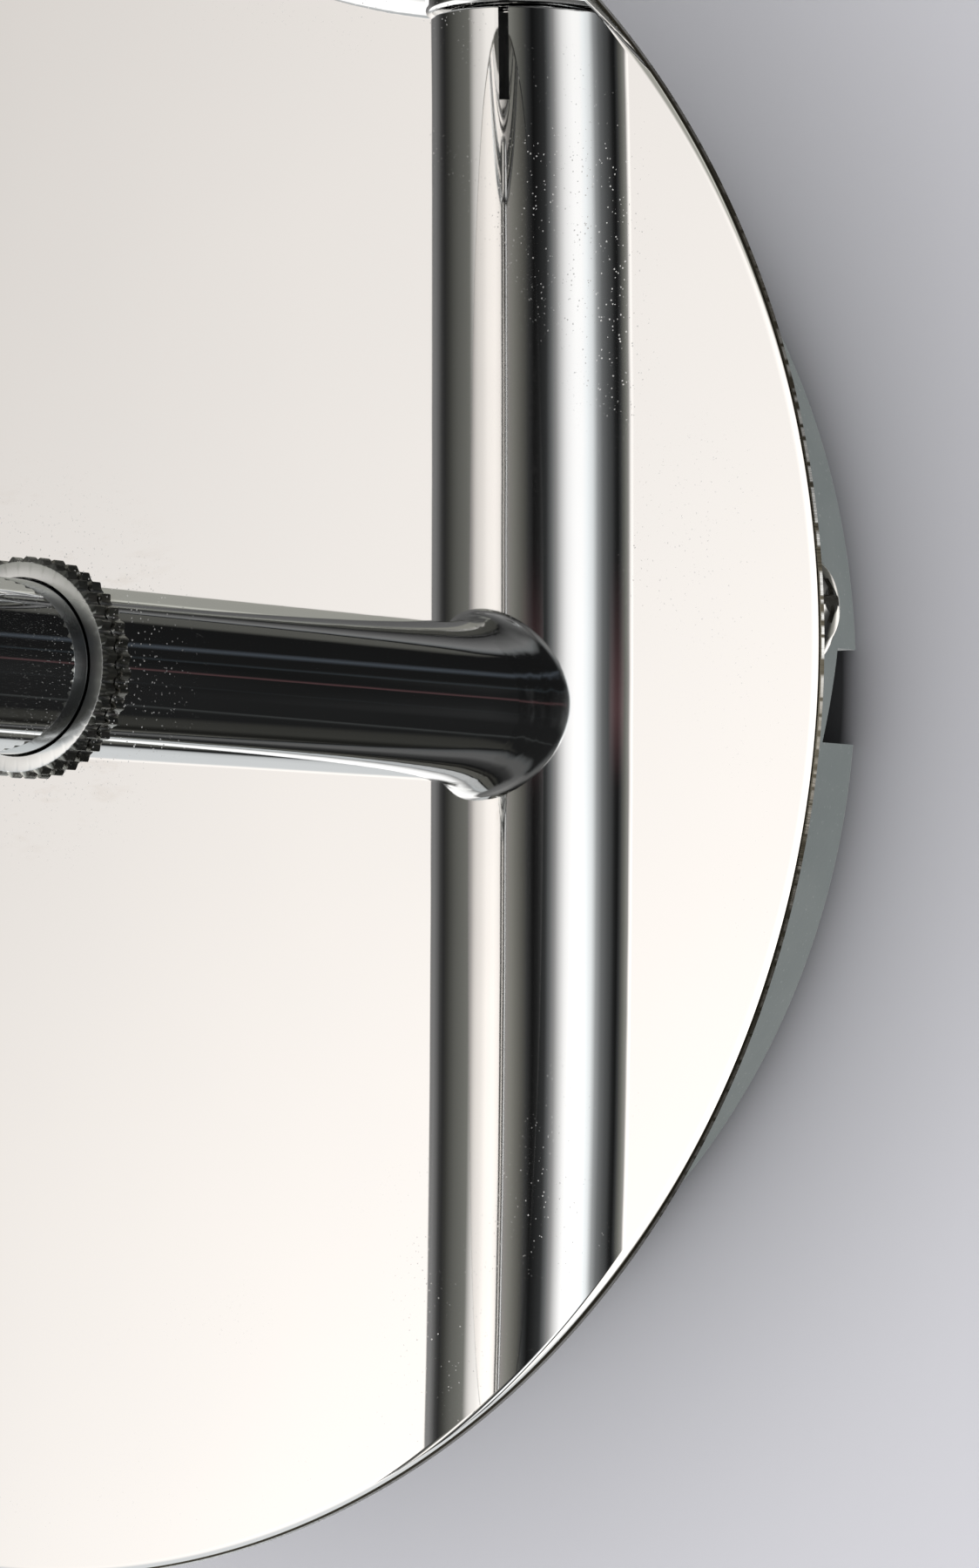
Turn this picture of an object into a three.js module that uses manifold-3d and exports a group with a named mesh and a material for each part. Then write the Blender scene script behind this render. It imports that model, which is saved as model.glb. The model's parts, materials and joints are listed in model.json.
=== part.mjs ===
// Extendable shaving mirror for a wall: a painted drum with a polished cover disc, a short arm brazed
// to an upright sleeve, and a rod that rises out of the sleeve with a two-sided mirror in a bow.
// Millimetres, +Z up. The wall is the plane y = 0 and the object stands out from it towards -Y.
// The origin is on the wall, on the axis of the arm.
import * as THREE from "three";
import { mergeVertices } from "three/addons/utils/BufferGeometryUtils.js";
import Module from "manifold-3d";

// ---- driving dimensions ----

const GAP = 0.3; // between pieces that only rest against each other
const FACETS = 40; // sides of a large round piece
const SMALL_FACETS = 14; // sides of a screw, stud or hole

const DRUM_RADIUS = 66.9;
const DRUM_DEPTH = 32.5;
const DRUM_WALL = 2.5;
const DRUM_DROP = 1.0; // the drum's axis lies this far below the arm's
const NOTCH_TOP = 1.45; // the notch in the drum's rim, heights from the arm's axis
const NOTCH_LOW = -7.1;
const NOTCH_DEPTH_TOP = 3.5; // how far it reaches out from the wall at its top and bottom
const NOTCH_DEPTH_LOW = 5.9;

const PLATE_THICKNESS = 2.5;
const PLATE_RIM_DEPTH = 17;
const PLATE_RADIUS = DRUM_RADIUS - DRUM_WALL - GAP;
const WALL_SCREW_CIRCLE = 48;
const SIDE_SCREW_DEPTH = 9.2; // from the wall
const SIDE_SCREW_HEIGHT = 5.1; // the first side screw, above the arm's axis
const SIDE_SCREW_HEAD = { radius: 5.2, height: 2.8 };
const SIDE_SCREW_SHANK = { radius: 2, length: 6.5 };
const SIDE_HOLE_RADIUS = 2.3;
const WALL_SCREW_HEAD = { radius: 4.5, height: 2.6 };
const WALL_SCREW_RADIUS = 2.2;
const WALL_HOLE_RADIUS = 2.6;

const HUB_RADIUS = 14;
const HUB_FLANGE_RADIUS = 23;
const HUB_FLANGE_THICKNESS = 3;
const HUB_SCREW_CIRCLE = 18.5;
const HUB_SCREW_HEAD = { radius: 3.4, height: 2.4 };
const HUB_SCREW_RADIUS = 1.8;
const HUB_HOLE_RADIUS = 2.1;
const GRUB_RADIUS = 2;
const GRUB_HOLE_RADIUS = 2.3;
const GRUB_DEPTH = 22; // from the wall

const DISC_RADIUS = 82.4;
const DISC_THICKNESS = 1.5;
const DISC_FRONT = 34.4; // from the wall
const NUT_TEETH = 40;
const NUT_TIP_RADIUS = 10.1;
const NUT_TOOTH_HEIGHT = 0.7;
const NUT_THICKNESS = 1.9;

const ARM_RADIUS = 8;
const ARM_WALL = 2;
const ARM_INNER_END = 12.5; // from the wall
const REACH = 121.3; // wall to the sleeve's axis
const FLARE_LENGTH = 11;
const FLARE_HEIGHT = 1.8;

const SLEEVE_RADIUS = 10.5;
const SLEEVE_BORE = 8.4;
const SLEEVE_TOP = 71.5;
const SLEEVE_BOTTOM = -88;
const SLIT_WIDTH = 1.1;
const SLIT_LENGTH = 10.1;
const SLIT_ANGLE = 74; // degrees from +X, so it faces the wall
const BUSH_BOTTOM = 30;

const ROD_RADIUS = 7.4;
const ROD_BORE = 5.9;
const ROD_BOTTOM = -75;
const GLIDE_LENGTH = 6;
const RUNNING_FIT = 0.07;

const BOSS_RADIUS = 11.2;
const BOSS_TOP = 80.2;
const BOW_RADIUS = 76.5; // centre line of the bow
const BOW_ROD_RADIUS = 3.5;
const BOW_LOW_EDGE = 71.6;
const EYE_RADIUS = 7;
const EYE_THICKNESS = 8;

const MIRROR_RADIUS = 69;
const MIRROR_HALF_DEPTH = 10.3;
const BEZEL_LIP = 2;
const BEZEL_SKIRT = 0.9;
const BAND_HALF_WIDTH = 8;
const GLASS_THICKNESS = 3;
const MAGNIFIER_SAG = 1.2;
const BOARD_HALF_THICKNESS = 4.7;
const STUD_RADIUS = 2;
const SOCKET_RADIUS = 4;
const SOCKET_LENGTH = 9;
const WASHER_RADIUS = 6;
const KNOB_RADIUS = 8;
const KNOB_TEETH = 24;
const KNOB_LENGTH = 10;
const KNOB_TOOTH_HEIGHT = 0.7;
const KNOB_COLLAR = 2;

// ---- places worked out from them ----

const MIRROR_HEIGHT = BOW_LOW_EDGE + BOW_ROD_RADIUS + BOW_RADIUS;
const ROD_TOP = SLEEVE_TOP + 0.1;
const BOSS_BOTTOM = SLEEVE_TOP + 0.3;
const DISC_BACK = DISC_FRONT - DISC_THICKNESS;
const HUB_BASE = PLATE_THICKNESS + GAP;
const HUB_FLANGE_TOP = HUB_BASE + HUB_FLANGE_THICKNESS;
const EYE_INNER = BOW_RADIUS - EYE_THICKNESS / 2;
const EYE_OUTER = BOW_RADIUS + EYE_THICKNESS / 2;
const BAND_RADIUS = MIRROR_RADIUS - BEZEL_SKIRT - 0.1;
const BAND_BORE = BAND_RADIUS - 2;
const GLASS_RADIUS = BAND_BORE - GAP;
const GLASS_FRONT = BAND_HALF_WIDTH;
const GLASS_BACK = GLASS_FRONT - GLASS_THICKNESS;
const SOCKET_INNER = BAND_BORE - SOCKET_LENGTH;
const KNOB_START = EYE_OUTER + GAP;
const STUD_END = KNOB_START + KNOB_LENGTH - 3;
const STUD_HOLE_RADIUS = STUD_RADIUS + 0.1;

// ---- finishes ----

const finish = (color, roughness, metalness) =>
  new THREE.MeshStandardMaterial({ color, roughness, metalness });
const FINISHES = {
  polished: finish(0xd9d6d2, 0.04, 1),
  chrome: finish(0xc9cccd, 0.08, 1),
  paint: finish(0x70797a, 0.45, 0.1),
  steel: finish(0x9a9c9c, 0.35, 1),
  brass: finish(0xb59a5a, 0.3, 1),
  nylon: finish(0xe6e3da, 0.5, 0),
  board: finish(0x3a3836, 0.8, 0),
  mirror: finish(0xeef1f2, 0.02, 1),
};

// ---- solids ----

const wasm = await Module();
wasm.setup();

function solid(geometry) {
  const bare = geometry.index ? geometry.toNonIndexed() : geometry.clone();
  bare.deleteAttribute("normal");
  bare.deleteAttribute("uv");
  const merged = mergeVertices(bare, 1e-4);
  return new wasm.Manifold(
    new wasm.Mesh({
      numProp: 3,
      vertProperties: merged.attributes.position.array,
      triVerts: new Uint32Array(merged.index.array),
    }),
  );
}

function geometryOf(body) {
  const mesh = body.getMesh();
  const geometry = new THREE.BufferGeometry();
  geometry.setAttribute("position", new THREE.BufferAttribute(mesh.vertProperties, 3));
  geometry.setIndex(new THREE.BufferAttribute(mesh.triVerts, 1));
  geometry.computeVertexNormals();
  return geometry;
}

const joined = (bodies) => bodies.reduce((sum, body) => sum.add(body));
const cut = (body, tools) => tools.reduce((left, tool) => left.subtract(tool), body);

// A turned body about the Y axis from [radius, y] points in order of rising y along its outside.
function turned(points, facets = FACETS) {
  const profile = points.map(([radius, y]) => new THREE.Vector2(radius, y));
  return new THREE.LatheGeometry(profile, facets);
}

const rod = (radius, from, to, facets) =>
  turned([[0, from], [radius, from], [radius, to], [0, to]], facets);

const ring = (inner, outer, from, to, facets) =>
  turned([[inner, from], [outer, from], [outer, to], [inner, to], [inner, from]], facets);

// Turned bodies start about Y; these turn them to stand along Z or to lie along X.
const alongZ = (geometry) => geometry.rotateX(Math.PI / 2);
const alongX = (geometry) => geometry.rotateZ(-Math.PI / 2);

// Pieces measured outwards from the wall: a depth of d is y = -d.
const outRing = (inner, outer, near, far, facets) => ring(inner, outer, -far, -near, facets);
const outRod = (radius, near, far, facets) => rod(radius, -far, -near, facets);

// A straight-knurled disc along Z, from z = 0, with a round hole.
function knurled(tip, height, teeth, thickness, bore) {
  const shape = new THREE.Shape();
  for (let corner = 0; corner < 2 * teeth; corner += 1) {
    const radius = corner % 2 ? tip - height : tip;
    const angle = (corner * Math.PI) / teeth;
    const place = [radius * Math.cos(angle), radius * Math.sin(angle)];
    if (corner) shape.lineTo(...place);
    else shape.moveTo(...place);
  }
  shape.closePath();
  const hole = new THREE.Path();
  hole.absarc(0, 0, bore, 0, 2 * Math.PI, true);
  shape.holes.push(hole);
  return new THREE.ExtrudeGeometry(shape, {
    depth: thickness,
    bevelEnabled: false,
    curveSegments: SMALL_FACETS,
  });
}

// A pan-head screw along Y: its head reaches towards -Y from y = 0 and its shank towards +Y.
function panScrew(head, shankRadius, shankLength) {
  return turned(
    [
      [0, -head.height],
      [head.radius * 0.62, -head.height],
      [head.radius * 0.9, -head.height * 0.8],
      [head.radius, -head.height * 0.45],
      [head.radius, 0],
      [shankRadius, 0],
      [shankRadius, shankLength],
      [0, shankLength],
    ],
    SMALL_FACETS,
  );
}

const aroundY = (angle) => new THREE.Matrix4().makeRotationY(-angle);
const thirds = (start) => [0, 1, 2].map((index) => start + (index * 2 * Math.PI) / 3);

// ---- wall end ----

const sideScrewStart = Math.asin((SIDE_SCREW_HEIGHT + DRUM_DROP) / DRUM_RADIUS);
const sideScrewAngles = thirds(sideScrewStart);
const wallScrewAngles = thirds(Math.PI / 2);

function sideHole(angle) {
  const bore = alongX(rod(SIDE_HOLE_RADIUS, HUB_FLANGE_RADIUS, DISC_RADIUS, SMALL_FACETS));
  return solid(bore.translate(0, -SIDE_SCREW_DEPTH, 0).applyMatrix4(aroundY(angle)));
}

// The slanted notch, open to the wall, in the drum's own frame.
function notch(inner, outer, margin) {
  const top = NOTCH_TOP + DRUM_DROP + margin;
  const low = NOTCH_LOW + DRUM_DROP - margin;
  const outline = new THREE.Shape([
    new THREE.Vector2(1, low),
    new THREE.Vector2(1, top),
    new THREE.Vector2(-NOTCH_DEPTH_TOP - margin, top),
    new THREE.Vector2(-NOTCH_DEPTH_LOW - margin, low),
  ]);
  const block = new THREE.ExtrudeGeometry(outline, { depth: outer - inner, bevelEnabled: false });
  const toYZ = new THREE.Matrix4().makeBasis(
    new THREE.Vector3(0, 1, 0),
    new THREE.Vector3(0, 0, 1),
    new THREE.Vector3(1, 0, 0),
  );
  return solid(block.applyMatrix4(toYZ).translate(inner, 0, 0));
}

function drum() {
  const inner = DRUM_RADIUS - DRUM_WALL;
  const hubHole = HUB_RADIUS + 1.5;
  const edge = 0.8;
  const shell = turned([
    [hubHole, -DRUM_DEPTH],
    [DRUM_RADIUS - edge, -DRUM_DEPTH],
    [DRUM_RADIUS, -DRUM_DEPTH + edge],
    [DRUM_RADIUS, 0],
    [inner, 0],
    [inner, -DRUM_DEPTH + DRUM_WALL],
    [hubHole, -DRUM_DEPTH + DRUM_WALL],
    [hubHole, -DRUM_DEPTH],
  ]);
  const holes = sideScrewAngles.map((angle) => sideHole(angle));
  return cut(solid(shell), [...holes, notch(60, 75, 0)]);
}

function basePlate() {
  const rim = outRing(PLATE_RADIUS - 2, PLATE_RADIUS, 0, PLATE_RIM_DEPTH);
  const plate = outRod(PLATE_RADIUS - 1, 0, PLATE_THICKNESS);
  const wallHoles = wallScrewAngles.map((angle) => {
    const hole = outRod(WALL_HOLE_RADIUS, -1, 5, SMALL_FACETS).translate(WALL_SCREW_CIRCLE, 0, 0);
    return solid(hole.applyMatrix4(aroundY(angle)));
  });
  const hubHoles = hubScrewPlaces().map(([x, z]) =>
    solid(outRod(HUB_HOLE_RADIUS, 0.6, 5, SMALL_FACETS).translate(x, 0, z + DRUM_DROP)),
  );
  const holes = sideScrewAngles.map((angle) => sideHole(angle));
  const body = solid(rim).add(solid(plate));
  return cut(body, [...wallHoles, ...hubHoles, ...holes, notch(60, 66, 1)]);
}

function hubScrewPlaces() {
  return thirds(Math.PI / 6).map((angle) => [
    HUB_SCREW_CIRCLE * Math.cos(angle),
    HUB_SCREW_CIRCLE * Math.sin(angle),
  ]);
}

function hub() {
  const bore = ARM_RADIUS + RUNNING_FIT;
  const body = turned([
    [0, -ARM_INNER_END + GAP],
    [bore, -ARM_INNER_END + GAP],
    [bore, -DRUM_DEPTH + GAP],
    [HUB_RADIUS, -DRUM_DEPTH + GAP],
    [HUB_RADIUS, -HUB_FLANGE_TOP],
    [HUB_FLANGE_RADIUS, -HUB_FLANGE_TOP],
    [HUB_FLANGE_RADIUS, -HUB_BASE],
    [0, -HUB_BASE],
  ]);
  const screwHoles = hubScrewPlaces().map(([x, z]) =>
    solid(outRod(HUB_HOLE_RADIUS, 1, 8, SMALL_FACETS).translate(x, 0, z)),
  );
  const grub = alongZ(rod(GRUB_HOLE_RADIUS, -20, -5, SMALL_FACETS)).translate(0, -GRUB_DEPTH, 0);
  return cut(solid(body), [...screwHoles, solid(grub)]);
}

function grubScrew() {
  const screw = alongZ(rod(GRUB_RADIUS, -HUB_RADIUS + 0.5, -ARM_RADIUS - GAP, SMALL_FACETS));
  return screw.translate(0, -GRUB_DEPTH, 0);
}

function coverDisc() {
  const hole = ARM_RADIUS + GAP;
  const edge = 0.35;
  return turned(
    [
      [hole, -DISC_FRONT],
      [DISC_RADIUS - edge, -DISC_FRONT],
      [DISC_RADIUS, -DISC_FRONT + edge],
      [DISC_RADIUS, -DISC_BACK],
      [hole, -DISC_BACK],
      [hole, -DISC_FRONT],
    ],
    72,
  );
}

function knurledNut() {
  const bore = ARM_RADIUS + 0.15;
  const body = knurled(NUT_TIP_RADIUS, NUT_TOOTH_HEIGHT, NUT_TEETH, NUT_THICKNESS, bore);
  return body.rotateX(Math.PI / 2).translate(0, -DISC_FRONT - GAP / 2, 0);
}

// ---- arm and sleeve ----

function arm() {
  const flareStart = REACH - SLEEVE_RADIUS - FLARE_LENGTH;
  const flare = [];
  const steps = 6;
  for (let step = 0; step <= steps; step += 1) {
    const along = step / steps;
    const radius = ARM_RADIUS + FLARE_HEIGHT * along * along;
    flare.push([radius, -flareStart - along * (REACH - flareStart - 2)]);
  }
  const bore = ARM_RADIUS - ARM_WALL;
  const outline = [[bore, -REACH + 2], ...flare.reverse()];
  outline.push([ARM_RADIUS, -ARM_INNER_END], [bore, -ARM_INNER_END], [bore, -REACH + 2]);
  const seat = alongZ(rod(SLEEVE_RADIUS + GAP, -30, 30)).translate(0, -REACH, 0);
  return cut(solid(turned(outline)), [solid(seat)]);
}

function sleeve() {
  const edge = 0.5;
  const tube = turned([
    [SLEEVE_BORE, SLEEVE_BOTTOM],
    [SLEEVE_RADIUS, SLEEVE_BOTTOM],
    [SLEEVE_RADIUS, SLEEVE_TOP - edge],
    [SLEEVE_RADIUS - edge, SLEEVE_TOP],
    [SLEEVE_BORE, SLEEVE_TOP],
    [SLEEVE_BORE, SLEEVE_BOTTOM],
  ]);
  const saw = new THREE.BoxGeometry(12, SLIT_WIDTH, SLIT_LENGTH + 1);
  saw.translate(12, 0, SLEEVE_TOP - SLIT_LENGTH / 2 + 0.5);
  saw.rotateZ(THREE.MathUtils.degToRad(SLIT_ANGLE));
  return cut(solid(alongZ(tube)), [solid(saw)]);
}

function sleeveCap() {
  const low = SLEEVE_BOTTOM - GAP;
  const cap = [
    [0, low - 2.4],
    [SLEEVE_RADIUS - 1, low - 2.4],
    [SLEEVE_RADIUS, low - 1.4],
    [SLEEVE_RADIUS, low],
    [SLEEVE_BORE - 0.15, low],
    [SLEEVE_BORE - 0.15, low + 5],
    [0, low + 5],
  ];
  return alongZ(turned(cap));
}

const upperBush = () =>
  alongZ(ring(ROD_RADIUS + RUNNING_FIT, SLEEVE_BORE - 0.1, BUSH_BOTTOM, SLEEVE_TOP - GAP));

// ---- rising rod ----

const rodTube = () => alongZ(ring(ROD_BORE, ROD_RADIUS, ROD_BOTTOM, ROD_TOP));

function rodGlide() {
  const top = ROD_BOTTOM - GAP;
  const spigot = ROD_BORE - RUNNING_FIT;
  const outline = [
    [0, top - GLIDE_LENGTH],
    [SLEEVE_BORE - 0.6, top - GLIDE_LENGTH],
    [SLEEVE_BORE - 0.1, top - GLIDE_LENGTH + 0.8],
    [SLEEVE_BORE - 0.1, top],
    [spigot, top],
    [spigot, top + 12],
    [0, top + 12],
  ];
  return alongZ(turned(outline));
}

// A half circle below the mirror's centre, from the left eye round to the right one.
class BowLine extends THREE.Curve {
  getPoint(along, target = new THREE.Vector3()) {
    const angle = Math.PI + along * Math.PI;
    return target.set(BOW_RADIUS * Math.cos(angle), 0, BOW_RADIUS * Math.sin(angle));
  }
}

function bowRod(radius, sides) {
  const section = new THREE.Shape();
  for (let side = 0; side < sides; side += 1) {
    const angle = (side * 2 * Math.PI) / sides;
    const place = [radius * Math.cos(angle), radius * Math.sin(angle)];
    if (side) section.lineTo(...place);
    else section.moveTo(...place);
  }
  section.closePath();
  return new THREE.ExtrudeGeometry(section, { steps: 30, extrudePath: new BowLine() });
}

function bow() {
  const eyes = [-1, 1].map((side) => {
    const eye = alongX(rod(EYE_RADIUS, EYE_INNER, EYE_OUTER, 24));
    return solid(side < 0 ? eye.rotateZ(Math.PI) : eye);
  });
  const hole = alongX(rod(STUD_HOLE_RADIUS, -EYE_OUTER, EYE_OUTER, SMALL_FACETS));
  return cut(joined([solid(bowRod(BOW_ROD_RADIUS, 12)), ...eyes]), [solid(hole)]);
}

function boss() {
  const spigot = ROD_BORE - 0.1;
  const edge = 0.7;
  const outline = [
    [0, ROD_TOP - 16],
    [spigot, ROD_TOP - 16],
    [spigot, BOSS_BOTTOM],
    [BOSS_RADIUS - edge, BOSS_BOTTOM],
    [BOSS_RADIUS, BOSS_BOTTOM + edge],
    [BOSS_RADIUS, BOSS_TOP - edge],
    [BOSS_RADIUS - edge, BOSS_TOP],
    [0, BOSS_TOP],
  ];
  const path = bowRod(BOW_ROD_RADIUS + GAP, 12).translate(0, 0, MIRROR_HEIGHT);
  return cut(solid(alongZ(turned(outline))), [solid(path)]);
}

// ---- mirror head, about its own centre ----

const mirrorBand = () => {
  const band = solid(ring(BAND_BORE, BAND_RADIUS, -BAND_HALF_WIDTH, BAND_HALF_WIDTH));
  const hole = alongX(rod(STUD_RADIUS + 0.1, -100, 100, SMALL_FACETS));
  return cut(band, [solid(hole)]);
};

function bezel() {
  const lip = MIRROR_RADIUS - BEZEL_SKIRT - BEZEL_LIP - 1.6;
  const skirtBore = MIRROR_RADIUS - BEZEL_SKIRT;
  const seat = -BAND_HALF_WIDTH - GAP;
  return turned([
    [lip, -MIRROR_HALF_DEPTH],
    [MIRROR_RADIUS - 0.8, -MIRROR_HALF_DEPTH],
    [MIRROR_RADIUS, -MIRROR_HALF_DEPTH + 0.8],
    [MIRROR_RADIUS, -BAND_HALF_WIDTH + 4.5],
    [skirtBore, -BAND_HALF_WIDTH + 4.5],
    [skirtBore, seat],
    [lip, seat],
    [lip, -MIRROR_HALF_DEPTH],
  ]);
}

const plainGlass = () => rod(GLASS_RADIUS, -GLASS_FRONT, -GLASS_BACK);

function magnifyingGlass() {
  const outline = [[0, GLASS_BACK], [GLASS_RADIUS, GLASS_BACK], [GLASS_RADIUS, GLASS_FRONT]];
  const steps = 5;
  for (let step = 1; step <= steps; step += 1) {
    const inward = 1 - step / steps;
    outline.push([GLASS_RADIUS * inward, GLASS_FRONT - MAGNIFIER_SAG * (1 - inward * inward)]);
  }
  return turned(outline);
}

function backingBoard() {
  const board = rod(GLASS_RADIUS - 0.3, -BOARD_HALF_THICKNESS, BOARD_HALF_THICKNESS);
  const slots = [-1, 1].map((side) => {
    const slot = alongX(rod(SOCKET_RADIUS + GAP, SOCKET_INNER - 2, 80, SMALL_FACETS));
    return solid(side < 0 ? slot.rotateZ(Math.PI) : slot);
  });
  return cut(solid(board), slots);
}

const socket = () =>
  alongX(ring(STUD_HOLE_RADIUS, SOCKET_RADIUS, SOCKET_INNER, BAND_BORE - GAP, SMALL_FACETS));
const stud = () => alongX(rod(STUD_RADIUS, SOCKET_INNER + 1, STUD_END, SMALL_FACETS));
const pivotWasher = () => {
  const bore = STUD_RADIUS + 0.2;
  return alongX(ring(bore, WASHER_RADIUS, MIRROR_RADIUS + GAP, EYE_INNER - GAP, SMALL_FACETS));
};

function knob() {
  const collar = ring(STUD_HOLE_RADIUS, KNOB_RADIUS - 1.6, KNOB_START, KNOB_START + KNOB_COLLAR, 24);
  const gripStart = KNOB_START + KNOB_COLLAR - 0.1;
  const gripEnd = KNOB_START + KNOB_LENGTH - 1.5;
  const gripLength = gripEnd - gripStart;
  const grip = knurled(KNOB_RADIUS, KNOB_TOOTH_HEIGHT, KNOB_TEETH, gripLength, STUD_HOLE_RADIUS);
  grip.rotateY(Math.PI / 2).translate(gripStart, 0, 0);
  const crown = turned([
    [0, gripEnd - 0.5],
    [KNOB_RADIUS - 0.9, gripEnd - 0.5],
    [KNOB_RADIUS - 1.1, gripEnd + 0.6],
    [KNOB_RADIUS - 2.5, gripEnd + 1.5],
    [0, gripEnd + 1.5],
  ], 24);
  const bore = alongX(rod(STUD_HOLE_RADIUS, KNOB_START - 1, STUD_END + 0.4, SMALL_FACETS));
  const body = joined([solid(alongX(collar)), solid(grip), solid(alongX(crown))]);
  return cut(body, [solid(bore)]);
}

// ---- the scene graph ----

const object = new THREE.Group();
object.name = "shaving_mirror";

function group(parent, x, y, z) {
  const child = new THREE.Group();
  child.position.set(x, y, z);
  parent.add(child);
  return child;
}

function piece(parent, name, finishName, shape) {
  const geometry = shape.isBufferGeometry ? shape : geometryOf(shape);
  const mesh = new THREE.Mesh(geometry, FINISHES[finishName]);
  mesh.name = name;
  parent.add(mesh);
  return mesh;
}

const drumGroup = group(object, 0, 0, -DRUM_DROP);
piece(drumGroup, "drum", "paint", drum());
piece(drumGroup, "base_plate", "steel", basePlate());
wallScrewAngles.forEach((angle, index) => {
  const screw = panScrew(WALL_SCREW_HEAD, WALL_SCREW_RADIUS, HUB_BASE - 0.05);
  screw.translate(WALL_SCREW_CIRCLE, -HUB_BASE, 0).applyMatrix4(aroundY(angle));
  piece(drumGroup, `wall_screw_${index + 1}`, "steel", screw);
});
sideScrewAngles.forEach((angle, index) => {
  const screw = panScrew(SIDE_SCREW_HEAD, SIDE_SCREW_SHANK.radius, SIDE_SCREW_SHANK.length);
  screw.rotateZ(Math.PI / 2).translate(DRUM_RADIUS + GAP, -SIDE_SCREW_DEPTH, 0);
  piece(drumGroup, `side_screw_${index + 1}`, "chrome", screw.applyMatrix4(aroundY(angle)));
});
piece(object, "hub", "steel", hub());
hubScrewPlaces().forEach(([x, z], index) => {
  const screw = panScrew(HUB_SCREW_HEAD, HUB_SCREW_RADIUS, HUB_FLANGE_TOP - 0.8);
  screw.translate(x, -HUB_FLANGE_TOP - GAP, z);
  piece(object, `hub_screw_${index + 1}`, "steel", screw);
});
piece(object, "hub_grub_screw", "steel", grubScrew());
piece(object, "cover_disc", "polished", coverDisc());
piece(object, "knurled_nut", "chrome", knurledNut());
piece(object, "arm_tube", "chrome", arm());

const column = group(object, 0, -REACH, 0);
piece(column, "sleeve_tube", "chrome", sleeve());
piece(column, "sleeve_cap", "chrome", sleeveCap());
piece(column, "sleeve_bush", "nylon", upperBush());
piece(column, "rod_glide", "nylon", rodGlide());
piece(column, "rod_tube", "chrome", rodTube());
piece(column, "bow_boss", "chrome", boss());

const head = group(column, 0, 0, MIRROR_HEIGHT);
piece(head, "mirror_bow", "chrome", bow());
piece(head, "mirror_band", "chrome", mirrorBand());
piece(head, "front_bezel", "chrome", bezel());
piece(head, "rear_bezel", "chrome", bezel().rotateX(Math.PI));
piece(head, "plain_glass", "mirror", plainGlass());
piece(head, "magnifying_glass", "mirror", magnifyingGlass());
piece(head, "backing_board", "board", backingBoard());
[["right", 0], ["left", Math.PI]].forEach(([side, turn]) => {
  const flank = group(head, 0, 0, 0);
  flank.rotation.z = turn;
  piece(flank, `${side}_socket`, "brass", socket());
  piece(flank, `${side}_stud`, "steel", stud());
  piece(flank, `${side}_washer`, "nylon", pivotWasher());
  piece(flank, `${side}_knob`, "chrome", knob());
});

export default object;
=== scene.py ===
"""Looks of the extendable shaving mirror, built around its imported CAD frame.

Shapes are given in millimetres about the object's own origin (on the wall, on the arm's axis) and
turned into metres when a mesh is made. Places come from the CAD nodes' boxes.
"""

import json
import math

import bmesh
import bpy
from mathutils import Matrix, Vector


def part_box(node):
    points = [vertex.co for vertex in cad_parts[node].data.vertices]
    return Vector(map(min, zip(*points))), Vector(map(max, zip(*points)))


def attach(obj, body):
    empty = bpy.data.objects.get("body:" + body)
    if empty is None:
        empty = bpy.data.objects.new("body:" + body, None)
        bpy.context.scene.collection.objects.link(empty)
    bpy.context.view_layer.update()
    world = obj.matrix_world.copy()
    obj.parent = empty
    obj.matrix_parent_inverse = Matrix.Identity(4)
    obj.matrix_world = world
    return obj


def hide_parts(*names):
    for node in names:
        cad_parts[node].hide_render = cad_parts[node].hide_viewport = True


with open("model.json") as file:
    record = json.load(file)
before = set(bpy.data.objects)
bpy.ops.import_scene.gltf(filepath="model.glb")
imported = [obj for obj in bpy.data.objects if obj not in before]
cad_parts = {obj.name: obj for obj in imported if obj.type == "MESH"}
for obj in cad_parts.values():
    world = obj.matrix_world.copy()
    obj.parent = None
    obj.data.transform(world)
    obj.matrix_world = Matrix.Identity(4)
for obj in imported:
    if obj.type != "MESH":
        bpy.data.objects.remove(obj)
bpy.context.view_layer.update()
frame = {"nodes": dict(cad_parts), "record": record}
scene = bpy.context.scene
MM = 0.001

# ---------------------------------------------------------------- places from the frame


def span(node):
    """The lowest and highest corner of a CAD node, in millimetres."""
    low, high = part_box(node)
    return Vector(low) / MM, Vector(high) / MM


DISC_LOW, DISC_HIGH = span("cover_disc")
DISC_FRONT, DISC_BACK = DISC_LOW.y, DISC_HIGH.y
DISC_RADIUS = (DISC_HIGH.x - DISC_LOW.x) / 2
DRUM_LOW, DRUM_HIGH = span("drum")
DRUM_RADIUS = (DRUM_HIGH.x - DRUM_LOW.x) / 2
DRUM_HEIGHT = (DRUM_HIGH.z + DRUM_LOW.z) / 2
SLEEVE_LOW, SLEEVE_HIGH = span("sleeve_tube")
SLEEVE_RADIUS = (SLEEVE_HIGH.x - SLEEVE_LOW.x) / 2
COLUMN_Y = (SLEEVE_HIGH.y + SLEEVE_LOW.y) / 2
NUT_LOW, NUT_HIGH = span("knurled_nut")
NUT_RADIUS = (NUT_HIGH.z - NUT_LOW.z) / 2
ARM_HIGH = span("arm_tube")[1]
ARM_RADIUS = 8.0
ROD_LOW, ROD_HIGH = span("rod_tube")
ROD_RADIUS = (ROD_HIGH.x - ROD_LOW.x) / 2
BOSS_LOW, BOSS_HIGH = span("bow_boss")
BOSS_RADIUS = (BOSS_HIGH.x - BOSS_LOW.x) / 2
BEZEL_LOW, BEZEL_HIGH = span("front_bezel")
MIRROR_RADIUS = (BEZEL_HIGH.x - BEZEL_LOW.x) / 2
MIRROR_HEIGHT = (BEZEL_HIGH.z + BEZEL_LOW.z) / 2
MIRROR_HALF_DEPTH = COLUMN_Y - BEZEL_LOW.y
BOW_HIGH = span("mirror_bow")[1]

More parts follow.
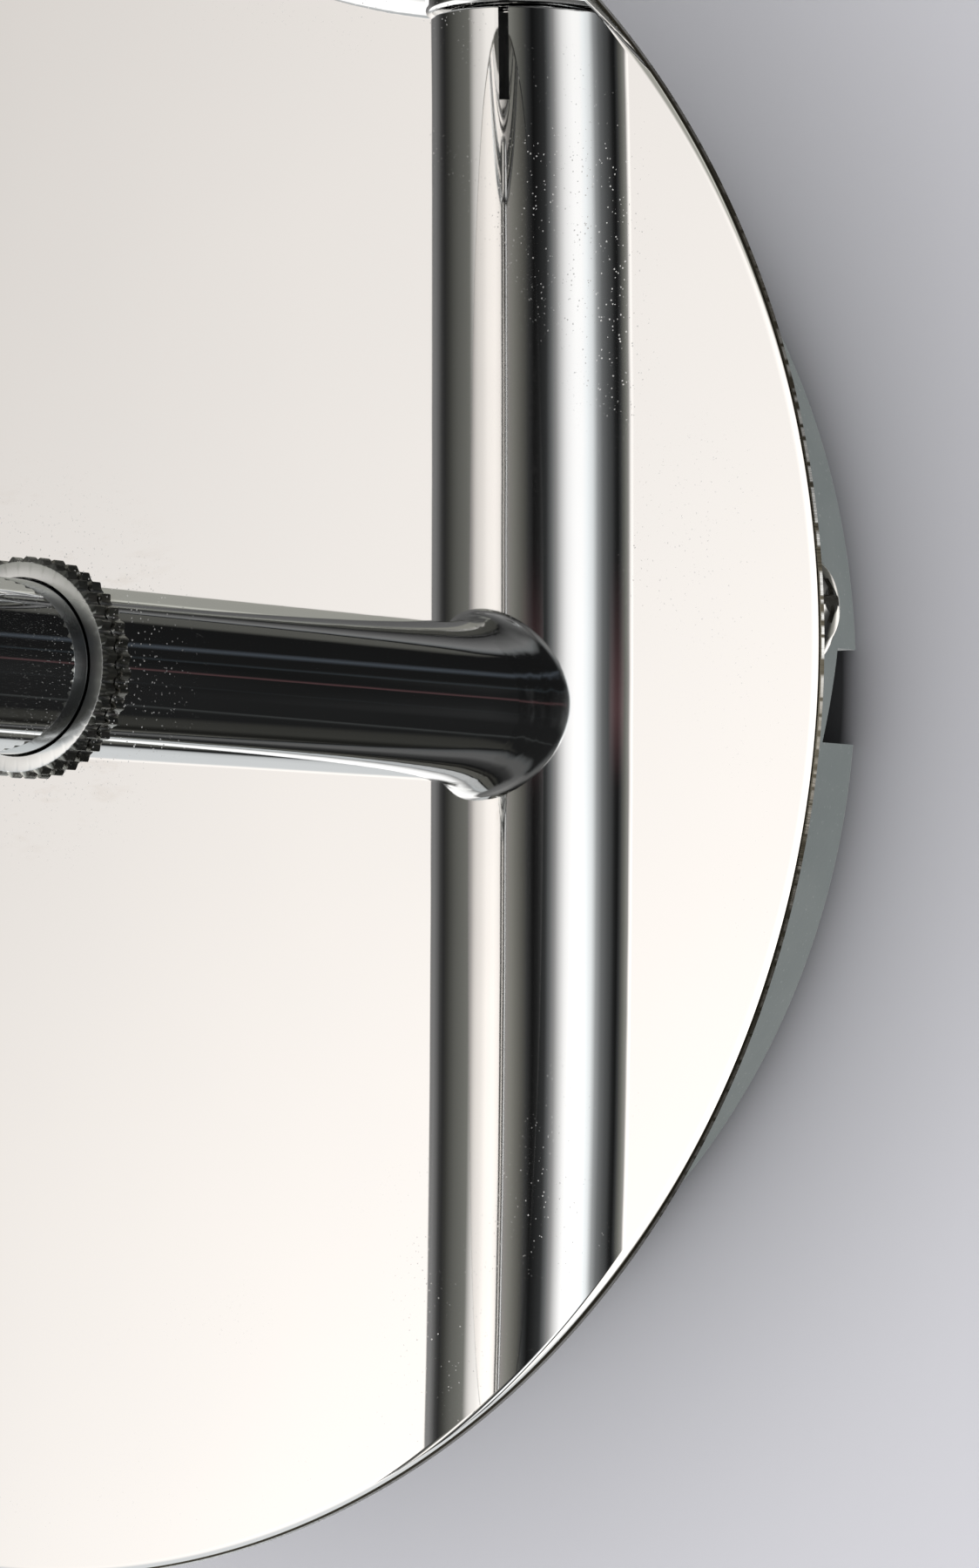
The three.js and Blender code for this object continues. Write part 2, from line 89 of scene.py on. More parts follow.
# ---------------------------------------------------------------- camera

CAMERA_LENS = 144.65  # millimetres, on a 36 mm sensor
CAMERA_FROM_DISC = Vector((341.03, -462.56, -31.97))  # from the centre of the disc's front
CAMERA_YAW = 0.5624  # radians to the left of straight at the wall
CAMERA_PITCH = 0.0375
CAMERA_ROLL = 0.0026


def make_camera():
    data = bpy.data.cameras.new("camera")
    data.lens = CAMERA_LENS
    data.sensor_width = 36
    data.clip_start = 0.01
    camera = bpy.data.objects.new("camera", data)
    scene.collection.objects.link(camera)
    forward = Vector((
        -math.sin(CAMERA_YAW) * math.cos(CAMERA_PITCH),
        math.cos(CAMERA_YAW) * math.cos(CAMERA_PITCH),
        math.sin(CAMERA_PITCH),
    ))
    level = Vector((math.cos(CAMERA_YAW), math.sin(CAMERA_YAW), 0))
    upright = level.cross(forward)
    right = math.cos(CAMERA_ROLL) * level + math.sin(CAMERA_ROLL) * upright
    up = -math.sin(CAMERA_ROLL) * level + math.cos(CAMERA_ROLL) * upright
    place = (Vector((0, DISC_FRONT, 0)) + CAMERA_FROM_DISC) * MM
    turn = Matrix((right, up, -forward)).transposed().to_4x4()
    camera.matrix_world = Matrix.Translation(place) @ turn
    scene.camera = camera


make_camera()

# ---------------------------------------------------------------- mesh tools


def new_object(name, verts, faces, sharp=32):
    """A mesh object from points in millimetres, smooth but for edges sharper than the angle."""
    mesh = bpy.data.meshes.new(name)
    mesh.from_pydata([Vector(v) * MM for v in verts], [], faces)
    obj = bpy.data.objects.new(name, mesh)
    scene.collection.objects.link(obj)
    clean(obj, sharp)
    return obj


def apply_steps(obj):
    """Makes the modifiers of an object part of its mesh."""
    bpy.context.view_layer.update()
    done = obj.evaluated_get(bpy.context.evaluated_depsgraph_get())
    mesh = bpy.data.meshes.new_from_object(done)
    obj.modifiers.clear()
    obj.data = mesh


def clean(obj, sharp=32):
    """Merges doubled points, turns the faces outwards, and shades them by their broad faces."""
    old_normals = obj.data.attributes.get("custom_normal")
    if old_normals:
        obj.data.attributes.remove(old_normals)
    work = bmesh.new()
    work.from_mesh(obj.data)
    bmesh.ops.remove_doubles(work, verts=work.verts, dist=1e-7)
    bmesh.ops.recalc_face_normals(work, faces=work.faces)
    work.to_mesh(obj.data)
    work.free()
    for face in obj.data.polygons:
        face.use_smooth = True
    obj.data.set_sharp_from_angle(angle=math.radians(sharp))
    broad = obj.modifiers.new("broad", "WEIGHTED_NORMAL")
    broad.weight = 100
    broad.keep_sharp = True
    apply_steps(obj)


AXES = {
    "X": lambda h, a, b: (h, a, b),
    "Y": lambda h, a, b: (a, h, b),
    "Z": lambda h, a, b: (a, b, h),
}


def rounded(points, steps=4):
    """A closed outline with its corners rounded: each point is (radius, height, fillet)."""
    outline = []
    count = len(points)
    for index, (r, h, fillet) in enumerate(points):
        corner = Vector((r, h))
        if not fillet:
            outline.append(corner)
            continue
        before = Vector(points[index - 1][:2])
        after = Vector(points[(index + 1) % count][:2])
        start = corner + (before - corner).normalized() * fillet
        end = corner + (after - corner).normalized() * fillet
        for step in range(steps + 1):
            t = step / steps
            outline.append(start * (1 - t) ** 2 + corner * 2 * t * (1 - t) + end * t * t)
    return [(p.x, p.y) for p in outline]


def lathe(name, outline, axis="Z", centre=(0, 0, 0), segments=192, sharp=32, shape=None):
    """Turns a closed (radius, height) outline about an axis; shape(radius, angle) may vary it."""
    place = AXES[axis]
    centre = Vector(centre)
    verts = []
    for step in range(segments):
        angle = 2 * math.pi * step / segments
        for radius, height in outline:
            r = shape(radius, angle) if shape else radius
            point = place(height, r * math.cos(angle), r * math.sin(angle))
            verts.append(Vector(point) + centre)
    count = len(outline)
    faces = []
    for step in range(segments):
        here, there = step * count, (step + 1) % segments * count
        for k in range(count):
            n = (k + 1) % count
            if outline[k][0] < 1e-9 and outline[n][0] < 1e-9:
                continue
            if outline[k][0] < 1e-9:
                faces.append((here + k, here + n, there + n))
            elif outline[n][0] < 1e-9:
                faces.append((here + k, here + n, there + k))
            else:
                faces.append((here + k, here + n, there + n, there + k))
    return new_object(name, verts, faces, sharp)


def ring_outline(inner, outer, low, high, fillet=0.25):
    return rounded([
        (inner, low, fillet),
        (outer, low, fillet),
        (outer, high, fillet),
        (inner, high, fillet),
    ])


def combine(obj, tools, operation="DIFFERENCE", sharp=32):
    """Cuts the tools out of an object, or joins them to it, and removes them."""
    for tool in tools:
        step = obj.modifiers.new("step", "BOOLEAN")
        step.operation = operation
        step.solver = "EXACT"
        step.object = tool
    apply_steps(obj)
    for tool in tools:
        bpy.data.objects.remove(tool)
    clean(obj, sharp)
    return obj


def pin(radius, start, end, axis, centre=(0, 0, 0), turn=None):
    """A plain round cutting tool."""
    outline = [(0, start), (radius, start), (radius, end), (0, end)]
    tool = lathe("tool", outline, axis, centre, 40)
    if turn is not None:
        tool.data.transform(turn)
    return tool


def prism(outline, low, high):
    """A cutting tool with a (y, z) outline, from x = low to x = high."""
    count = len(outline)
    verts = [(x, y, z) for x in (low, high) for y, z in outline]
    faces = [tuple(range(count)), tuple(range(2 * count - 1, count - 1, -1))]
    for k in range(count):
        n = (k + 1) % count
        faces.append((k, n, n + count, k + count))
    return new_object("tool", verts, faces)


# ---------------------------------------------------------------- materials


class Graph:
    """A short way to write a material's nodes."""

    def __init__(self, name):
        self.material = bpy.data.materials.new(name)
        self.material.use_nodes = True
        self.tree = self.material.node_tree
        self.shader = self.tree.nodes["Principled BSDF"]
        coords = self.tree.nodes.new("ShaderNodeTexCoord")
        self.place = coords.outputs["Object"]

    def node(self, kind, inputs=None, **settings):
        made = self.tree.nodes.new("ShaderNode" + kind)
        for key, value in settings.items():
            setattr(made, key, value)
        for key, value in (inputs or {}).items():
            self.put(made.inputs[key], value)
        return made

    def put(self, socket, value):
        if isinstance(value, bpy.types.NodeSocket):
            self.tree.links.new(value, socket)
        else:
            socket.default_value = value

    def noise(self, scale, detail=4.0, rough=0.5, at=None, offset=(0, 0, 0), stretch=(1, 1, 1)):
        mapping = self.node("Mapping", {
            "Vector": at or self.place,
            "Location": offset,
            "Scale": stretch,
        })
        made = self.node("TexNoise", {
            "Vector": mapping.outputs["Vector"],
            "Scale": scale,
            "Detail": detail,
            "Roughness": rough,
        })
        return made.outputs["Fac"]

    def spread(self, value, low, high, out_low=0.0, out_high=1.0):
        made = self.node("MapRange", {
            "Value": value,
            "From Min": low,
            "From Max": high,
            "To Min": out_low,
            "To Max": out_high,
        })
        return made.outputs["Result"]

    def math(self, operation, a, b=0.0):
        made = self.node("Math", operation=operation)
        self.put(made.inputs[0], a)
        self.put(made.inputs[1], b)
        return made.outputs["Value"]

    def mix(self, factor, a, b):
        made = self.node("Mix", data_type="RGBA")
        self.put(made.inputs["Factor"], factor)
        self.put(made.inputs[6], a)
        self.put(made.inputs[7], b)
        return made.outputs[2]

    def bump(self, height, distance, strength=1.0):
        made = self.node("Bump", {"Height": height, "Distance": distance, "Strength": strength})
        return made.outputs["Normal"]

    def set(self, **inputs):
        for key, value in inputs.items():
            self.put(self.shader.inputs[key.replace("_", " ")], value)
        return self.material


def colour(r, g, b):
    return (r, g, b, 1.0)


def polished_metal(name, bright, dull, roughness, specks, scratch_depth=0.0000004):
    """Plated metal with a faint cloudiness, wiping marks and a few pits."""
    g = Graph(name)
    cloud = g.noise(35, 3)
    wiped = g.noise(900, 2, stretch=(1, 1, 0.04))
    rough = g.spread(cloud, 0.35, 0.75, roughness, roughness * 2.2)
    pits = g.node("TexVoronoi", {"Vector": g.place, "Scale": 900.0, "Randomness": 1.0})
    near = g.spread(pits.outputs["Distance"], 0.16, 0.30, 1, 0)
    chosen = g.spread(pits.outputs["Color"], 1 - specks, 1 - specks * 0.6, 0, 1)
    pit = g.math("MULTIPLY", near, chosen)
    tint = g.mix(g.spread(cloud, 0.3, 0.7), bright, dull)
    return g.set(
        Base_Color=g.mix(pit, tint, colour(0.55, 0.55, 0.53)),
        Metallic=1.0,
        Roughness=g.math("ADD", rough, g.math("MULTIPLY", pit, 0.45)),
        Normal=g.bump(g.math("ADD", wiped, pit), scratch_depth),
    )


def brazed_metal():
    """Chrome over a brazed joint that was dressed by hand, so its surface wanders a little."""
    g = Graph("brazed_chrome")
    cloud = g.noise(35, 3)
    lumps = g.noise(260, 2, 0.4)
    grains = g.spread(g.noise(1500, 3, 0.6), 0.60, 0.80)
    return g.set(
        Base_Color=g.mix(g.spread(cloud, 0.3, 0.7), colour(0.80, 0.81, 0.80), colour(0.72, 0.73, 0.73)),
        Metallic=1.0,
        Roughness=g.spread(cloud, 0.35, 0.75, 0.03, 0.08),
        Normal=g.bump(g.math("ADD", lumps, g.math("MULTIPLY", grains, 0.05)), 0.00012),
    )


def disc_metal():
    """The mirror-polished cover disc: wiping marks, rim pits and old polish by the nut."""
    g = Graph("disc_polish")
    apart = g.node("SeparateXYZ", {"Vector": g.place})
    x, z = apart.outputs["X"], apart.outputs["Z"]
    radius = g.math("SQRT", g.math("ADD", g.math("MULTIPLY", x, x), g.math("MULTIPLY", z, z)))
    cloud = g.noise(22, 3)
    near_rim = g.spread(radius, 0.058, 0.077, 0.0, 1.0)
    near_nut = g.spread(radius, 0.0102, 0.0200, 1.0, 0.0)
    patch = g.spread(g.noise(55, 3, offset=(0.4, 0.1, 0.7)), 0.46, 0.60)
    pits = g.node("TexVoronoi", {"Vector": g.place, "Scale": 3600.0, "Randomness": 1.0})
    near = g.spread(pits.outputs["Distance"], 0.22, 0.42, 1, 0)
    chosen = g.spread(pits.outputs["Color"], 0.72, 0.80)
    by_rim = g.math("MULTIPLY", near_rim, patch)
    where = g.math("MAXIMUM", by_rim, g.math("MULTIPLY", near_nut, 0.7))
    rim_pit = g.math("MULTIPLY", g.math("MULTIPLY", near, chosen), where)
    streaks = g.noise(420, 5, 0.65, stretch=(0.35, 1, 1))
    stain = g.math("MULTIPLY", near_nut, g.spread(streaks, 0.56, 0.78))
    clouded = g.spread(cloud, 0.3, 0.7)
    clean_tint = g.mix(clouded, colour(0.925, 0.905, 0.89), colour(0.90, 0.885, 0.875))
    marked = g.mix(g.math("MULTIPLY", stain, 0.35), clean_tint, colour(0.55, 0.44, 0.33))
    hairs = g.noise(2600, 2, stretch=(0.05, 1, 1), offset=(0, 0, 0.3))
    rough = g.math("ADD", g.spread(cloud, 0.4, 0.8, 0.008, 0.022), g.math("MULTIPLY", rim_pit, 0.5))
    waves = g.math("MULTIPLY", g.noise(45, 2), 3.0)
    return g.set(
        Base_Color=g.mix(rim_pit, marked, colour(0.80, 0.80, 0.79)),
        Metallic=g.math("SUBTRACT", 1.0, g.math("MULTIPLY", rim_pit, 0.8)),
        Roughness=g.math("ADD", rough, g.math("MULTIPLY", stain, 0.12)),
        Normal=g.bump(g.math("ADD", waves, g.math("MULTIPLY", hairs, 0.06)), 0.000001),
    )


FACETS_PER_METRE = 480.0  # along the sheet's sheared edge
CORNER_START, CORNER_END = 0.30, 0.36  # where the painted dark corner, a dark reflection, fades out behind the disc's front
BROKEN_FROM, BROKEN_TO = 0.060, 0.074  # metres along X, over which the painted dim reflection and the dark breaks fade in
BRIGHT_HEIGHT = 0.011  # metres; the middle of the painted highlight, where the edge stays bright
BRIGHT_REACH, BRIGHT_FADE = 0.011, 0.017


def disc_edge_metal():
    """The sheared edge of the sheet, its reflections painted by place: a dark corner, then bright
    facets with dark breaks between, which dim towards +X but for a painted highlight round
    BRIGHT_HEIGHT.
    """
    g = Graph("disc_edge")
    apart = g.node("SeparateXYZ", {"Vector": g.place})
    angle = g.math("ARCTAN2", apart.outputs["Z"], apart.outputs["X"])
    along = g.node("CombineXYZ", {"X": g.math("MULTIPLY", angle, DISC_RADIUS * MM)})
    where = {"Vector": along.outputs["Vector"], "Scale": FACETS_PER_METRE}
    facets = g.node("TexVoronoi", where, feature="DISTANCE_TO_EDGE")
    marks = g.noise(1800, 3, 0.6, at=along.outputs["Vector"])
    broken = g.spread(facets.outputs["Distance"], 0.04, 0.10, 1, 0)
    # corner paints a dark reflection along the front corner of the edge.
    corner_start, corner_end = (DISC_FRONT + CORNER_START) * MM, (DISC_FRONT + CORNER_END) * MM
    corner = g.spread(apart.outputs["Y"], corner_start, corner_end, 1, 0)
    # across and beside paint the edge's reflection by place: dim towards +X, bright round
    # BRIGHT_HEIGHT.
    across = g.spread(apart.outputs["X"], BROKEN_FROM, BROKEN_TO)
    away = g.math("ABSOLUTE", g.math("SUBTRACT", apart.outputs["Z"], BRIGHT_HEIGHT))
    beside = g.spread(away, BRIGHT_REACH, BRIGHT_FADE, 1, 0)
    dim_reflection_and_marks = g.mix(g.spread(marks, 0.35, 0.65), colour(0.22, 0.20, 0.165), colour(0.46, 0.43, 0.38))
    plain = g.mix(across, colour(0.97, 0.96, 0.94), dim_reflection_and_marks)
    bright = g.mix(beside, plain, colour(0.95, 0.94, 0.90))
    dark = g.math("MAXIMUM", g.math("MULTIPLY", broken, across), corner)
    return g.set(
        Base_Color=g.mix(dark, bright, colour(0.13, 0.115, 0.085)),
        Metallic=1.0,
        Roughness=g.spread(marks, 0.3, 0.7, 0.16, 0.34),
        Normal=g.bump(marks, 0.00003),
    )


def paint():
    """Satin grey-green paint over a spun drum."""
    g = Graph("drum_paint")
    mottled = g.noise(60, 5, 0.55)
    peel = g.noise(1500, 3)
    dust = g.spread(g.noise(2800, 2), 0.66, 0.74)
    mottle = g.spread(mottled, 0.3, 0.7)
    tint = g.mix(mottle, colour(0.165, 0.188, 0.187), colour(0.205, 0.225, 0.222))
    return g.set(
        Base_Color=g.mix(g.math("MULTIPLY", dust, 0.35), tint, colour(0.42, 0.43, 0.42)),
        Roughness=g.spread(mottled, 0.3, 0.7, 0.36, 0.52),
        Normal=g.bump(peel, 0.00003),
    )


def bare_metal(name, dark, light, roughness, streak=(1, 1, 1)):
    """Unpolished metal with a drawn or turned grain."""
    g = Graph(name)
    grain = g.noise(1400, 4, 0.6, stretch=streak)
    stain = g.noise(90, 4)
    tint = g.mix(g.spread(stain, 0.3, 0.7), dark, light)
    return g.set(
        Base_Color=tint,
        Metallic=1.0,
        Roughness=g.spread(grain, 0.3, 0.7, roughness * 0.75, roughness * 1.3),
        Normal=g.bump(grain, 0.00001),
    )


def plastic(name, dark, light, roughness, scale=300):
    g = Graph(name)
    grain = g.noise(scale, 5, 0.6)
    return g.set(
        Base_Color=g.mix(g.spread(grain, 0.3, 0.7), dark, light),
        Roughness=g.spread(grain, 0.3, 0.7, roughness * 0.85, roughness * 1.15),
        Normal=g.bump(grain, 0.00002),
    )


def silvered_glass():
    """Mirror glass: a clear coat of glass over silver, with faint finger haze."""
    g = Graph("silvered_glass")
    haze = g.noise(28, 5, 0.6)
    smear = g.noise(260, 3, stretch=(0.15, 1, 1))
    film = g.math("MULTIPLY", g.spread(haze, 0.52, 0.75), g.spread(smear, 0.4, 0.7))
    return g.set(
        Base_Color=g.mix(g.spread(haze, 0.3, 0.7), colour(0.90, 0.915, 0.91), colour(0.93, 0.94, 0.94)),
        Metallic=1.0,
        Roughness=g.math("ADD", 0.004, g.math("MULTIPLY", film, 0.05)),
        Coat_Weight=0.35,
        Coat_Roughness=0.02,
    )


CHROME = polished_metal("chrome", colour(0.86, 0.87, 0.87), colour(0.82, 0.83, 0.835), 0.022, 0.004)
NUT_CHROME = polished_metal(
    "nut_chrome", colour(0.82, 0.82, 0.81), colour(0.72, 0.72, 0.71), 0.17, 0.03, 0.000003)
KNOB_CHROME = polished_metal(
    "knob_chrome", colour(0.86, 0.86, 0.85), colour(0.76, 0.76, 0.75), 0.06, 0.03, 0.000003)
# A darker copy of the nut's chrome for the knurled teeth: painted shade among the teeth.
SHADED_KNURL_CHROME = polished_metal(
    "shaded_knurl_chrome", colour(0.40, 0.40, 0.37), colour(0.22, 0.22, 0.20), 0.20, 0.05, 0.000004)
SCREW_CHROME = polished_metal(
    "screw_chrome", colour(0.84, 0.83, 0.80), colour(0.66, 0.63, 0.58), 0.12, 0.05, 0.000006)
BRAZED_CHROME = brazed_metal()
STEEL = bare_metal("zinc_steel", colour(0.42, 0.42, 0.41), colour(0.60, 0.60, 0.59), 0.36)
BRASS = bare_metal("brass", colour(0.62, 0.48, 0.24), colour(0.76, 0.62, 0.34), 0.28)
NYLON = plastic("black_nylon", colour(0.022, 0.023, 0.025), colour(0.040, 0.040, 0.042), 0.45)
BOARD = plastic("fibre_board", colour(0.035, 0.032, 0.030), colour(0.065, 0.060, 0.055), 0.8, 700)
MATERIALS = {
    "polished": disc_metal(),
    "chrome": CHROME,
    "paint": paint(),
    "steel": STEEL,
    "brass": BRASS,
    "nylon": NYLON,
    "board": BOARD,
    "mirror": silvered_glass(),
}

# ---------------------------------------------------------------- how a piece joins the frame

NODE_BODY = {
    node: body
    for body, nodes in frame["record"]["behaviour"]["bodies"].items()
    for node in nodes
}
NODE_SLOT = {part["node"]: part["material_slot"] for part in frame["record"]["subparts"]}


def stand_for(piece, node, *materials):
    """The piece takes the node's place, body and material slot."""
    piece.data.materials.clear()
    for material in materials or (MATERIALS[NODE_SLOT[node]],):
        piece.data.materials.append(material)
    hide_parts(node)
    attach(piece, NODE_BODY[node])
    return piece


# ---------------------------------------------------------------- cover disc

DISC_HOLE = ARM_RADIUS + 0.3
DISC_SAG = 0.07  # how far the front falls back at its rim
SAG_POWER = 8  # the middle is flat, only the outer part bends
LIP_WIDTH = 1.0  # the last of the front, which bends back more
LIP_TILT = math.radians(11)
LIP_CORNER = 0.16
EDGE_TILT = math.radians(70)
EDGE_DEPTH = 0.36  # the part of the sheet's edge that stands square, behind its corner
BACK_BEVEL = 0.9  # how far the edge falls in towards the back


def cover_disc():
    def front(radius):
        return DISC_FRONT + DISC_SAG * (radius / DISC_RADIUS) ** SAG_POWER

    hole_edge = 0.15
    outline = [
        (DISC_HOLE, DISC_BACK),
        (DISC_HOLE, DISC_FRONT + hole_edge),
        (DISC_HOLE + hole_edge, DISC_FRONT),
    ]
    flat_start = DISC_HOLE + hole_edge
    lip_start = DISC_RADIUS - LIP_WIDTH
    rings = 40
    for step in range(1, rings + 1):
        radius = flat_start + (lip_start - flat_start) * (step / rings) ** 0.7
        outline.append((radius, front(radius)))
    radius, depth = outline[-1]
    width = DISC_RADIUS - EDGE_DEPTH / math.tan(EDGE_TILT) - LIP_CORNER - radius
    first_tilt = SAG_POWER * DISC_SAG * (radius / DISC_RADIUS) ** (SAG_POWER - 1) / DISC_RADIUS
    steps = 12
    for step in range(1, steps + 1):
        tilt = first_tilt + (LIP_TILT - first_tilt) * ((step - 0.5) / steps) ** 1.3
        radius += width / steps
        depth += math.tan(tilt) * width / steps
        outline.append((radius, depth))
    corner_radius = radius
    turns = 8
    for step in range(turns):
        tilt = LIP_TILT + (EDGE_TILT - LIP_TILT) * (step + 0.5) / turns
        radius += math.cos(tilt) * LIP_CORNER * 1.3 / turns
        depth += math.sin(tilt) * LIP_CORNER * 1.3 / turns
        outline.append((radius, depth))
    outline.append((DISC_RADIUS, depth + EDGE_DEPTH))
    outline.append((DISC_RADIUS - BACK_BEVEL, DISC_BACK))
    disc = lathe("disc_plate", outline, "Y", segments=512, sharp=24)
    stand_for(disc, "cover_disc", MATERIALS["polished"], disc_edge_metal())
    edge_start = (corner_radius + 0.01) * MM
    for face in disc.data.polygons:
        if math.hypot(face.center.x, face.center.z) > edge_start:
            face.material_index = 1
    return disc


# ---------------------------------------------------------------- knurled nut and knobs


def tooth(teeth, tip, height):
    """A radius that stands as straight knurling on any outline point beyond the roots."""
    root = tip - height

    def radius(wanted, angle):
        if wanted <= root:
            return wanted
        phase = (angle * teeth / (2 * math.pi)) % 1.0
        ridge = 1 - abs(2 * phase - 1)
        sharpened = min(1.0, max(0.0, (ridge - 0.06) / 0.86))
        return min(wanted, root + height * sharpened)

    return radius


NUT_TEETH = 40
NUT_TOOTH = 0.58


def knurled_nut():
    front, back = NUT_LOW.y, NUT_HIGH.y
    bore = ARM_RADIUS + 0.15
    root = NUT_RADIUS - NUT_TOOTH
    outline = [
        (bore, back),
        (bore, front + 0.05),
        (bore + 0.05, front),
        (root - 0.05, front),
        (root + 0.05, front + 0.03),
        (NUT_RADIUS, front + 0.34),
        (NUT_RADIUS, back - 0.22),
        (root, back),
    ]
    nut = lathe("knurled_ring", outline, "Y", segments=NUT_TEETH * 12, sharp=28,
                shape=tooth(NUT_TEETH, NUT_RADIUS, NUT_TOOTH))
    stand_for(nut, "knurled_nut", NUT_CHROME, SHADED_KNURL_CHROME)
    # The teeth take the darker chrome, a painted shade among them.
    for face in nut.data.polygons:
        if math.hypot(face.center.x, face.center.z) > (root + 0.06) * MM:
            face.material_index = 1
    return nut


KNOB_TEETH = 24


def knob(side, node):
    low, high = span(node)
    start, end = (low.x, high.x) if side > 0 else (-high.x, -low.x)
    tip = (high.z - low.z) / 2
    outline = rounded([
        (2.1, start, 0),
        (tip - 1.6, start, 0.3),
        (tip - 1.6, start + 1.9, 0.1),
        (tip, start + 2.1, 0.5),
        (tip, end - 1.5, 0.5),
        (tip - 1.3, end - 0.9, 0.5),
        (tip - 2.8, end, 0.6),
        (0, end, 0),
        (0, end - 2.4, 0),
        (2.1, end - 2.4, 0),
    ])
    made = lathe(node + "_grip", outline, "X", segments=KNOB_TEETH * 12, sharp=28,
                 shape=tooth(KNOB_TEETH, tip, 0.7))
    place = Matrix.Translation(Vector((0, COLUMN_Y, MIRROR_HEIGHT)) * MM)
    if side < 0:
        place = place @ Matrix.Rotation(math.pi, 4, "Z")
    made.data.transform(place)
    return stand_for(made, node, KNOB_CHROME)


# ---------------------------------------------------------------- arm and sleeve

ARM_BORE = ARM_RADIUS - 2
BRAZE_REACH = 11.0  # how far the brazed flare runs back along the arm
BRAZE_SPREAD = 1.75  # how far it spreads up and down the sleeve
BRAZE_SIDE = 0.7  # how far it spreads round the sleeve


def arm_tube():
    """The arm with its brazed flare: each line along it bends on to the sleeve as a curve."""
    around, curve_steps = 192, 22
    rows = []
    for step in range(around):
        angle = 2 * math.pi * step / around
        x, z = ARM_RADIUS * math.cos(angle), ARM_RADIUS * math.sin(angle)
        meet_y = COLUMN_Y + math.sqrt(SLEEVE_RADIUS ** 2 - x * x)
        meet = Vector((x, meet_y, z))
        start = Vector((x, COLUMN_Y + SLEEVE_RADIUS + BRAZE_REACH, z))
        wrap = math.asin(x / SLEEVE_RADIUS) + BRAZE_SIDE * math.cos(angle) / SLEEVE_RADIUS
        end = Vector((
            SLEEVE_RADIUS * math.sin(wrap),
            COLUMN_Y + SLEEVE_RADIUS * math.cos(wrap),
            z + BRAZE_SPREAD * math.sin(angle),
        ))
        inner = Vector((ARM_BORE * math.cos(angle), ARM_HIGH.y, ARM_BORE * math.sin(angle)))
        seat = COLUMN_Y + math.sqrt(SLEEVE_RADIUS ** 2 - inner.x ** 2)
        row = [inner, Vector((x, ARM_HIGH.y, z)), Vector((x, DISC_FRONT, z))]
        for k in range(curve_steps + 1):
            t = k / curve_steps
            row.append(start * (1 - t) ** 2 + meet * 2 * t * (1 - t) + end * t * t)
        row.append(Vector((inner.x, seat, inner.z)))
        rows.append(row)
    count = len(rows[0])
    faces = []
    for step in range(around):
        here, there = step * count, (step + 1) % around * count
        for k in range(count):
            n = (k + 1) % count
            faces.append((here + k, here + n, there + n, there + k))
    arm = new_object("arm_with_flare", [p for row in rows for p in row], faces, 40)
    stand_for(arm, "arm_tube", CHROME, BRAZED_CHROME)
    braze_start = (COLUMN_Y + SLEEVE_RADIUS + BRAZE_REACH * 0.5) * MM
    for face in arm.data.polygons:
        if face.center.y < braze_start:
            face.material_index = 1
    return arm


SLEEVE_WALL = 2.1
SLIT_WIDTH = 1.1
SLIT_LENGTH = 9.8
SLIT_ANGLE = 74  # degrees from +X, so it faces the wall


def sleeve_tube():
    """The upright sleeve, sawn through at its upper end so that it can grip the rod."""
    low, high = SLEEVE_LOW.z, SLEEVE_HIGH.z
    bore = SLEEVE_RADIUS - SLEEVE_WALL
    foot = high - SLIT_LENGTH
    outline = rounded([
        (bore, low, 0.2),
        (SLEEVE_RADIUS, low, 0.3),
        (SLEEVE_RADIUS, high, 0.2),
        (bore, high, 0.2),
    ])
    foot_index = len(outline) // 2
    outline.insert(foot_index, (SLEEVE_RADIUS, foot))
    outline.insert(foot_index, (SLEEVE_RADIUS, foot - 0.5))
    outline.append((bore, foot))
    foot_index += 1
    last = len(outline) - 1
    columns, slit_columns = 320, 6
    verts, index = [], {}

    def at(column, k):
        if (column, k) not in index:
            radius, height = outline[k]
            edge = math.asin(SLIT_WIDTH / 2 / radius)
            if column <= columns:
                angle = edge + 2 * (math.pi - edge) * column / columns
            else:
                angle = edge * (2 * (column - columns) / slit_columns - 1)
            angle += math.radians(SLIT_ANGLE)
            index[column, k] = len(verts)
            verts.append((radius * math.cos(angle), COLUMN_Y + radius * math.sin(angle), height))
        return index[column, k]

    faces = []
    for column in range(columns):
        for k in range(last + 1):
            n = (k + 1) % (last + 1)
            faces.append((at(column, k), at(column, n), at(column + 1, n), at(column + 1, k)))
    below = [(k, k + 1) for k in range(foot_index)] + [(foot_index, last), (last, 0)]
    for step in range(slit_columns):
        first = columns + step
        second = columns + step + 1 if step < slit_columns - 1 else 0
        for k, n in below:
            faces.append((at(first, k), at(first, n), at(second, n), at(second, k)))
    for column in (0, columns):
        faces.append([at(column, k) for k in range(foot_index, last + 1)])
    return stand_for(new_object("sleeve", verts, faces), "sleeve_tube")


